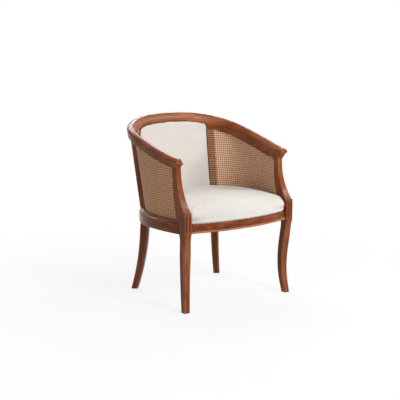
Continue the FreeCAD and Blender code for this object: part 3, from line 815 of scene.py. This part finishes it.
def weave_panel(node, lines, shift, shown_way, skins, widths, unshaded_share):
    """Weave one panel; shown_way is 1 where it shows outside the chair and -1 where it shows inside.
    The skins are the finish of its shown side, then that of its hidden side, which is painted dark as
    shade."""
    length = sum((after[0] - before[0]).length for before, after in zip(lines, lines[1:]))
    tallest = max((high - low).length for low, high, _ in lines)
    sheet = weave_repeat(*widths, shown_way)
    sheet.name = node + "_weave"
    array_sheet(sheet, math.ceil(length / pitch) + 2, math.ceil(tallest / pitch) + 1)
    cut_off(sheet, wrap_sheet(sheet, lines, length, shift, unshaded_share))
    bpy.ops.object.modifier_add(type="SOLIDIFY")
    sheet.modifiers[-1].thickness = strand_thickness
    sheet.modifiers[-1].offset = 0
    apply_all(sheet)
    bpy.ops.object.shade_smooth_by_angle(angle=ribbon_angle)
    for skin in skins:
        sheet.data.materials.append(skin)
    # Faces turned to the hidden side take the nearly black finish: painted shade between the two sheets.
    for face in sheet.data.polygons:
        outwards = face.center.x * face.normal.x + (face.center.y - ring_middle.y) * face.normal.y
        face.material_index = 1 if outwards * shown_way < 0 else 0
    print(sheet.name, "faces", len(sheet.data.polygons))
    return settle(sheet, "cane", node)


print("thickness of a strand", strand_thickness)

# %% [markdown]
# Rattan skin has a soft gloss, is straw coloured when new and browner under a stain. Each strand differs a
# little from the next. Its back, which faces the other sheet, is painted nearly black, as the shade between
# the two sheets.

# %% Cane finish and panels
cane_shine = 0.12
outside = 1
inside = -1
outer_ends = (0.434486, 0.485162)
inner_ends = (0.458486, 0.509162)
outer_depths = (0.0285, 0.0322)
inner_depths = (0.0315, 0.0348)
outer_widths = (0.0025, 0.0014, 0.0032)
inner_widths = (0.0022, 0.0013, 0.0022)
outer_shift = (0, 0)
inner_shift = (0.004, 0.004)
# Past these shares of a panel's length its strands are painted darker as shade.
outer_unshaded_share = 1
inner_unshaded_share = 0.92


def cane_finish(name, dark, middle, light):
    """A cane material; its shade is part noise and part the painted light and shade stored on each strand.
    """
    cane, tree, shader = new_material(name)
    patches = stretched_noise(tree, object_place(tree), (160, 160, 160), 3)
    noise_part = combined(tree, patches, 0.6, "MULTIPLY")
    painted_strand_light = combined(tree, attribute(tree, "strand", "Fac"), 0.4, "MULTIPLY")
    shade = combined(tree, noise_part, painted_strand_light, "ADD")
    # The darkest stop is painted shade, for the slanting strands and the strands over the stile.
    stops = [(0.1, darker(dark, 0.35)), (0.3, dark), (0.5, middle), (0.75, light)]
    link(tree, ramp(tree, shade, stops), shader.inputs["Base Color"])
    link(tree, mapped(tree, patches, 0.3, 0.7, 0.3, 0.5), shader.inputs["Roughness"])
    shader.inputs["Specular IOR Level"].default_value = cane_shine
    return cane


outer_skin = cane_finish("outer cane", (0.62, 0.25, 0.11), (0.95, 0.48, 0.25), (1.0, 0.64, 0.38))
inner_skin = cane_finish("inner cane", (0.62, 0.3, 0.15), (0.93, 0.56, 0.34), (1.0, 0.71, 0.49))
shade_painted_skin = cane_finish(
    "painted shade behind the cane", (0.035, 0.012, 0.004), (0.07, 0.025, 0.008), (0.11, 0.04, 0.014))

for side, sign in zip(sides, (1, -1)):
    weave_panel(
        "outer_cane_panel_" + side, wall_lines(outer_ends, outer_depths, sign), outer_shift,
        outside, (outer_skin, shade_painted_skin), outer_widths, outer_unshaded_share)
    weave_panel(
        "inner_cane_panel_" + side, wall_lines(inner_ends, inner_depths, sign), inner_shift,
        inside, (inner_skin, shade_painted_skin), inner_widths, inner_unshaded_share)

# %% [markdown]
# ## The top rail's inner side
# Towards the sitter the rail is rubbed round: its inner shoulder lies lower than its outer bead.
# Every vertex near that shoulder is lowered by an amount that grows with its depth inside the outer edge.
# Hands and backs thin the stain there too, most of all along the crest, and the paler tone there is also a
# painted highlight on the shoulder. At the splice of crest and arm the seam's bevels keep the plain stain,
# without the paler edge finish and its painted highlight.

# %% Round the inner shoulder
splice_along = 0.448162
splice_reach = 0.004
upper_part = 0.017
shoulder_drop = 0.008
shoulder_from = 0.016
shoulder_width = 0.028
strongest_shoulder_highlight = 0.22
shoulder_highlight_from = 0.029
shoulder_highlight_width = 0.008
shoulder_highlight_start = 0.4
shoulder_highlight_run = 0.15


def step(value):
    """A smooth step from 0 to 1."""
    value = min(max(value, 0), 1)
    return value * value * (3 - 2 * value)


def top_place(co):
    """Length along the top rail and depth inside its outer edge, for a point near it."""
    _, back_y, back_radius, back_first, _ = top_arcs[-1]
    back_angle = math.atan2(co.y - back_y, abs(co.x))
    if back_angle > back_first:
        along = top_length - back_radius * (math.pi / 2 - back_angle)
        return along, back_radius - math.hypot(co.x, co.y - back_y)
    along = 0
    for x, y, radius, first, last in top_arcs[:-1]:
        angle = math.atan2(co.y - y, abs(co.x) - x)
        depth = radius - math.hypot(abs(co.x) - x, co.y - y)
        if angle <= last:
            return along + radius * (angle - first), depth
        along += radius * (last - first)
    return along, depth


for node in ("crest_rail", "arm_rail_right", "arm_rail_left"):
    lowered = 0
    rail = wood_of(node).data
    thin_stain_highlight = rail.attributes.new("thin_stain_highlight", "FLOAT", "POINT")
    for vertex, highlight_value in zip(rail.vertices, thin_stain_highlight.data):
        along, depth = top_place(vertex.co)
        if vertex.co.z > top_height(along) - upper_part:
            vertex.co.z -= shoulder_drop * step((depth - shoulder_from) / shoulder_width)
            # The inner shoulder gets the paler tone, as wear and a painted highlight, strongest along the
            # crest.
            to_crest = step((along - shoulder_highlight_start) / shoulder_highlight_run)
            highlight_value.value = strongest_shoulder_highlight * step((depth - shoulder_highlight_from) / shoulder_highlight_width) * to_crest
            lowered += 1
    # At the seam the bevels lose the paler edge finish and its painted highlight.
    for face in rail.polygons:
        if abs(top_place(face.center)[0] - splice_along) < splice_reach:
            face.material_index = 0
    print(node, "points of the shoulder", lowered)

# %% [markdown]
# ## A lip over the cane
# On the inside the top rail hangs lower than on the outside, and covers the upper edge of the cane.
# The lip is a thin strip that follows the rail: the rows of a flat grid are wrapped round its
# cross-section, the columns follow the arcs, and the strip is closed at its ends and joined to the rail
# it belongs to.

# %% Add the lip to the rails
# Each corner of the section is a step outwards from the rail's inner face and a height from its top.
lip_section = (
    (0, -0.034), (-0.0008, -0.0545), (0, -0.056),
    (0.005, -0.056), (0.006, -0.036), (0, -0.034))
lip_columns = 40
lip_front = 0.003
lip_back_depth = 0.0366
stile_along = 0.511
rail_width = 0.044
arm_narrowing = 0.14
narrow_run = 0.15


def lip_strip(first, last, side):
    """A strip between two lengths along the top rail, on one side of the chair."""
    rows = len(lip_section) - 1
    bpy.ops.object.select_all(action="DESELECT")
    bpy.ops.mesh.primitive_grid_add(x_subdivisions=lip_columns, y_subdivisions=rows, size=1)
    strip = bpy.context.active_object
    for vertex in strip.data.vertices:
        along = first + (last - first) * (vertex.co.x + 0.5)
        outwards, height = lip_section[round((vertex.co.y + 0.5) * rows)]
        width = rail_width * (1 - arm_narrowing + arm_narrowing * min(along / narrow_run, 1))
        depth = width - outwards
        if outwards >= lip_front:
            depth = max(depth, lip_back_depth)
        spot, _ = inset(top_arcs, along, depth, top_height(along) + height)
        vertex.co = (side * spot.x, spot.y, spot.z)
    edit_all(bpy.ops.mesh.remove_doubles, threshold=merge_reach)
    edit_all(bpy.ops.mesh.fill_holes, sides=0)
    edit_all(bpy.ops.mesh.normals_make_consistent, inside=False)
    bpy.ops.object.shade_smooth_by_angle(angle=crisp_angle)
    give_grain(strip, bent_grain, 0.0)
    strip.data.materials.append(stained)
    return strip


for side, sign in zip(sides, (1, -1)):
    arm = joined(wood_of("arm_rail_" + side), lip_strip(top_front, splice_along, sign))
    print(arm.name, "with its lip", len(arm.data.polygons))
crest_lips = [lip_strip(splice_along, stile_along, sign) for sign in (1, -1)]
crest = joined(wood_of("crest_rail"), *crest_lips)
print(crest.name, "with its lips", len(crest.data.polygons))

# %% [markdown]
# ## Linen
# The cover is a plain woven, off-white linen. Its threads are about a millimetre apart, some thicker than
# others. The weave attribute unrolls the cover, so that the threads follow the pad over its edge.

# %% Linen finish
thread_scale = 260
thread_height = 0.25

linen_group, linen_in, linen_out = new_group("linen weave", "Weave", ("Threads", "Slubs"))
cloth_place = linen_in.outputs["Weave"]
threads = []
for direction in ("X", "Y"):
    wave = linen_group.nodes.new("ShaderNodeTexWave")
    wave.bands_direction = direction
    wave.inputs["Scale"].default_value = thread_scale
    link(linen_group, cloth_place, wave.inputs["Vector"])
    threads.append(wave.outputs["Fac"])
link(linen_group, combined(linen_group, *threads, "MULTIPLY"), linen_out.inputs["Threads"])
slubs_up = stretched_noise(linen_group, cloth_place, (300, 8, 8), 3)
slubs_across = stretched_noise(linen_group, cloth_place, (20, 500, 20), 3)
link(linen_group, combined(linen_group, slubs_up, slubs_across, "ADD"), linen_out.inputs["Slubs"])

linen, linen_tree, linen_shader = new_material("off-white linen")
linen_weave = linen_tree.nodes.new("ShaderNodeGroup")
linen_weave.node_tree = linen_group
link(linen_tree, attribute(linen_tree, "weave", "Vector"), linen_weave.inputs["Weave"])
slub_share = mapped(linen_tree, linen_weave.outputs["Slubs"], 0.7, 1.3, 0, 1)
linen_tone = ramp(linen_tree, slub_share, [
    (0, (0.71, 0.675, 0.63)), (0.5, (0.75, 0.715, 0.67)), (1, (0.785, 0.755, 0.715))])
link(linen_tree, linen_tone, linen_shader.inputs["Base Color"])
linen_shader.inputs["Roughness"].default_value = 0.85
linen_shader.inputs["Sheen Weight"].default_value = 0.15
bumped(linen_tree, linen_weave.outputs["Threads"], thread_height, linen_shader)


def give_weave(piece, rule):
    """Store the unrolled place of each vertex."""
    values = piece.data.attributes.new("weave", "FLOAT_VECTOR", "POINT")
    for vertex, value in zip(piece.data.vertices, values.data):
        value.vector = rule(vertex.co)


print("linen", linen.name)

# %% [markdown]
# ## The pads
# Upholstery is cloth pulled over foam. The CAD solids of a pad are joined and remeshed into even squares,
# then a cloth simulation presses the skin out from inside while its tacked edge is pinned.
# A cap keeps every point near where the solid has it.

# %% Blow up a pad
square = 0.005
tacked_band = 0.009
loose_from = 0.006
loose_run = 0.025
draw_in = 0.0028
pressure = 4.0
largest_move = 0.0038
last_frame = 20


def blow_up(piece, base):
    """Cloth with pressure from inside; the points just above the base stay."""
    pins = piece.vertex_groups.new(name="tacked edge")
    tacked = [vertex.index for vertex in piece.data.vertices if vertex.co.z < base + tacked_band]
    pins.add(tacked, 1.0, "REPLACE")
    start = [vertex.co.copy() for vertex in piece.data.vertices]
    only(piece)
    bpy.ops.object.modifier_add(type="CLOTH")
    cloth = piece.modifiers[-1]
    cloth.settings.quality = 5
    cloth.settings.mass = 0.3
    cloth.settings.tension_stiffness = 15
    cloth.settings.compression_stiffness = 15
    cloth.settings.bending_stiffness = 0.5
    cloth.settings.use_pressure = True
    cloth.settings.uniform_pressure_force = pressure
    cloth.settings.vertex_group_mass = pins.name
    cloth.settings.effector_weights.gravity = 0
    cloth.point_cache.frame_start = 1
    cloth.point_cache.frame_end = last_frame
    for moment in range(1, last_frame + 1):
        bpy.context.scene.frame_set(moment)
    bpy.ops.object.modifier_apply(modifier=cloth.name)
    furthest = 0.0
    for vertex, old in zip(piece.data.vertices, start):
        move = vertex.co - old
        furthest = max(furthest, move.length)
        if move.length > largest_move:
            vertex.co = old + move.normalized() * largest_move
    bpy.context.scene.frame_set(1)
    print(piece.name, "moved up to", round(furthest, 4), "and was capped at", largest_move)


def add_smooth(piece, rounds):
    bpy.ops.object.modifier_add(type="SMOOTH")
    piece.modifiers[-1].factor = 0.5
    piece.modifiers[-1].iterations = rounds


def soft_pad(nodes, name, base):
    """One even skin round the solids of a pad, drawn in a little and blown up again."""
    piece = joined(*[copy_of(node, node + "_copy") for node in nodes])
    piece.name = name
    piece.data.remesh_voxel_size = square
    bpy.ops.object.voxel_remesh()
    loose = piece.vertex_groups.new(name="free cloth")
    for vertex in piece.data.vertices:
        share = min(max((vertex.co.z - base - loose_from) / loose_run, 0), 1)
        loose.add([vertex.index], share, "REPLACE")
    bpy.ops.object.modifier_add(type="DISPLACE")
    piece.modifiers[-1].strength = -draw_in
    piece.modifiers[-1].mid_level = 0
    piece.modifiers[-1].vertex_group = loose.name
    add_smooth(piece, 2)
    piece.modifiers[-1].vertex_group = loose.name
    apply_all(piece)
    blow_up(piece, base)
    add_smooth(piece, 3)
    apply_all(piece)
    bpy.ops.object.modifier_add(type="SUBSURF")
    piece.modifiers[-1].levels = 1
    piece.modifiers[-1].render_levels = 1
    apply_all(piece)
    bpy.ops.object.shade_smooth()
    piece.data.materials.append(linen)
    print(name, "faces", len(piece.data.polygons))
    return piece


seat_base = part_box("seat_cover")[0].z
seat_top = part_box("seat_cover")[1].z
back_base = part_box("back_cover")[0].z
seat = soft_pad(["seat_cover", "seat_foam", "seat_board"], "seat_linen", seat_base)
back = soft_pad(["back_cover", "back_foam"], "back_linen", back_base)

# %% [markdown]
# The seat is stuffed fuller in its two front corners, where it rolls out over the rail and against the
# blocks. Along the rail its edge is tacked down, and the linen draws in between one tack and the next.

# %% Shape the seat
seat_corner = 0.25
corner_reach = 0.1
corner_push = 0.0065
corner_lift = 0.003
roll_from = 0.012
roll_height = 0.02
lift_from = 0.02
lift_height = 0.03
tack_period = 0.016
tuck = 0.0042
tuck_height = 0.007
front_part = -0.2
board_gap = 0.0004


def fill_corners(piece, base):
    for vertex in piece.data.vertices:
        height = vertex.co.z - base
        from_corner = math.hypot(abs(vertex.co.x) - seat_corner, vertex.co.y + seat_corner)
        roll = step(1 - from_corner / corner_reach) * step((height - roll_from) / roll_height)
        sideways = math.copysign(corner_push, vertex.co.x)
        upwards = corner_lift * step((height - lift_from) / lift_height)
        vertex.co += roll * Vector((sideways, -corner_push, upwards))


def pucker(piece, base, seam):
    """Draw the front edge in between its tacks, near the seam on the rail.
    The underside stays just above the board's."""
    for vertex in piece.data.vertices:
        above = vertex.co.z - seam
        inwards = Vector((-vertex.co.x, ring_middle.y - vertex.co.y, 0)).normalized()
        if above < tuck_height and vertex.co.y < front_part:
            between_tacks = math.sin(math.pi * vertex.co.x / tack_period) ** 2
            vertex.co += inwards * tuck * between_tacks * (1 - max(above, 0) / tuck_height)
        vertex.co.z = max(vertex.co.z, base + board_gap)


def seat_weave(co):
    around = co - ring_middle
    flat = math.hypot(around.x, around.y) or 1
    unrolled = 1 + (seat_top - co.z) / flat
    return (around.x * unrolled, around.y * unrolled, 0)


fill_corners(seat, seat_base)
pucker(seat, seat_base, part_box("front_seat_rail")[1].z)
give_weave(seat, seat_weave)
settle(seat, "linen", "seat_cover", "seat_foam")
print("seat", [round(value, 3) for value in seat.dimensions])

# %% [markdown]
# The back pad's upper roll swells forward and stands in front of the rail's lower edge. Towards its sides
# the pad spreads until it reaches the cane, and its upper corners stand highest.

# %% Shape the back
weave_radius = 0.3
pad_half_length = 0.2134
pad_front = 0.031
front_run = 0.006
roll_below_top = 0.042
roll_run = 0.05
roll_push = 0.009
roll_lift = 0.012
corner_extra = 0.013
corner_share = 2.5
side_spread = 0.0045
clear_of_rail = 0.0435
clear_run = 0.003


def swell_top(piece):
    for vertex in piece.data.vertices:
        along, depth = top_place(vertex.co)
        front = step((depth - pad_front) / front_run)
        rise = step((vertex.co.z - top_height(along) + roll_below_top + roll_run) / roll_run)
        near_side = min((top_length - along) / pad_half_length, 1)
        push = roll_push * front * rise
        spread = side_spread * front * near_side ** 4
        corner = corner_extra * (1 - min(1, corner_share * (1 - near_side))) ** 2
        raised = (roll_lift + corner) * rise * rise * step((depth + push - clear_of_rail) / clear_run)
        _, angle = inset(top_arcs, along, 0, 0)
        sign = math.copysign(1, vertex.co.x)
        inward = Vector((-sign * math.cos(angle), -math.sin(angle), 0))
        sideward = Vector((sign * math.sin(angle), -math.cos(angle), 0))
        vertex.co += inward * push + sideward * spread + Vector((0, 0, raised))


def back_weave(co):
    around = co - ring_middle
    return (weave_radius * math.atan2(around.x, around.y), co.z, 0)


swell_top(back)
give_weave(back, back_weave)
settle(back, "linen", "back_cover", "back_foam")
print("back", [round(value, 3) for value in back.dimensions])

# %% [markdown]
# The outside of the back is a thin board with the same linen stretched over it, between the two stiles.

# %% Outside back
board_angle = math.radians(40)
back_outside = copy_of("outside_back_panel", "outside_back_linen")
bpy.ops.object.shade_smooth_by_angle(angle=board_angle)
give_weave(back_outside, back_weave)
back_outside.data.materials.append(linen)
settle(back_outside, "linen", "outside_back_panel")
print("outside back", [round(value, 3) for value in back_outside.dimensions])
